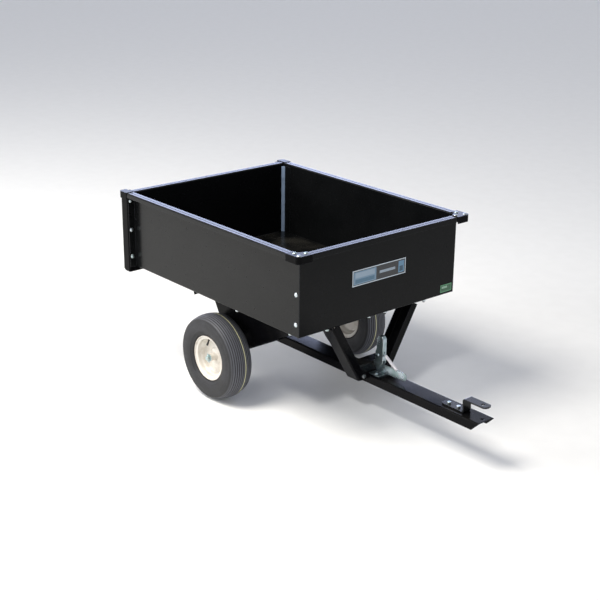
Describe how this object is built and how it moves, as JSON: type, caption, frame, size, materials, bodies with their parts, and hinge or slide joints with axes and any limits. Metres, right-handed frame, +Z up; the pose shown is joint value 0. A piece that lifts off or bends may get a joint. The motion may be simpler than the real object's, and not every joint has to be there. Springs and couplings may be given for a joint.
{
  "type": "tow behind cart",
  "caption": "Two-wheeled steel dump cart: open box bed with lift-out tailgate, tipping on its axle, latched to a channel tongue with a pin hitch.",
  "frame": {"origin": "on the ground under the middle of the whole cart's length and width", "axes": "+X forwards to the hitch, +Y to the cart's left, +Z up"},
  "size_m": [1.586, 0.8316, 0.7145],
  "materials": {
    "black_powder_coat": "semi-gloss black powder coat on steel sheet",
    "black_trim_paint": "satin black paint on steel trim",
    "zinc_plate": "bright zinc plate",
    "spring_steel": "bright drawn wire",
    "tyre_rubber": "moulded dark rubber",
    "cream_rim_paint": "cream white gloss paint on pressed steel",
    "valve_rubber": "black rubber",
    "black_nylon": "moulded nylon",
    "label_film": "printed vinyl film without lettering",
    "green_label_film": "printed vinyl film without lettering"
  },
  "bodies": {
    "frame": {"tongue": "black_powder_coat", "hitch_strap": "black_powder_coat", "hitch_bolts": "zinc_plate", "hitch_nuts": "zinc_plate", "axle": "zinc_plate", "inner_spacers": "black_powder_coat", "outer_spacers": "black_powder_coat", "hub_washers": "zinc_plate", "cotter_pins": "zinc_plate", "latch_stand": "zinc_plate", "latch_pin": "zinc_plate", "latch_spring": "spring_steel", "stand_bolts": "zinc_plate", "stand_nuts": "zinc_plate"},
    "bed": {"bed_floor": "black_powder_coat", "side_panel_right": "black_powder_coat", "side_panel_left": "black_powder_coat", "front_panel": "black_powder_coat", "tailgate_post_right": "black_trim_paint", "tailgate_post_left": "black_trim_paint", "tailgate_jamb_right": "black_powder_coat", "tailgate_jamb_left": "black_powder_coat", "corner_cap_front_right": "black_trim_paint", "corner_cap_front_left": "black_trim_paint", "corner_cap_rear_right": "black_trim_paint", "corner_cap_rear_left": "black_trim_paint", "floor_rib": "black_powder_coat", "axle_support_right": "black_powder_coat", "axle_support_left": "black_powder_coat", "pivot_bushes": "black_nylon", "strut_right": "black_powder_coat", "strut_left": "black_powder_coat", "latch_striker": "black_powder_coat", "striker_bolts": "zinc_plate", "striker_nuts": "zinc_plate", "side_bolts": "zinc_plate", "side_nuts": "zinc_plate", "floor_bolts": "zinc_plate", "floor_nuts": "zinc_plate", "cap_bolts": "zinc_plate", "cap_nuts": "zinc_plate", "front_label": "label_film", "size_label": "green_label_film"},
    "tailgate": {"tailgate_panel": "black_powder_coat"},
    "latch_lever": {"latch_lever": "zinc_plate"},
    "wheel_right": {"tyre_right": "tyre_rubber", "wheel_rim_right": "cream_rim_paint", "hub_right": "cream_rim_paint", "hub_bearings_right": "black_nylon", "tyre_valve_right": "valve_rubber"},
    "wheel_left": {"tyre_left": "tyre_rubber", "wheel_rim_left": "cream_rim_paint", "hub_left": "cream_rim_paint", "hub_bearings_left": "black_nylon", "tyre_valve_left": "valve_rubber"}
  },
  "joints": [
    {"name": "bed_tip", "type": "hinge", "parent": "frame", "child": "bed", "pos_m": [-0.263, 0, 0.165], "axis": [0, -1, 0], "range_deg": [0, 36]},
    {"name": "tailgate_slide", "type": "slide", "parent": "bed", "child": "tailgate", "axis": [0, 0, 1], "range_m": [0, 0.33]},
    {"name": "latch_release", "type": "hinge", "parent": "frame", "child": "latch_lever", "pos_m": [0.265, 0, 0.2515], "axis": [0, -1, 0], "range_deg": [0, 18], "stiffness_Nm_per_rad": 2, "springref_deg": -17.19, "deforming": ["latch_spring"]},
    {"name": "wheel_right_spin", "type": "hinge", "parent": "frame", "child": "wheel_right", "pos_m": [-0.263, -0.345, 0.165], "axis": [0, 1, 0], "continuous": true},
    {"name": "wheel_left_spin", "type": "hinge", "parent": "frame", "child": "wheel_left", "pos_m": [-0.263, 0.345, 0.165], "axis": [0, 1, 0], "continuous": true}
  ]
}
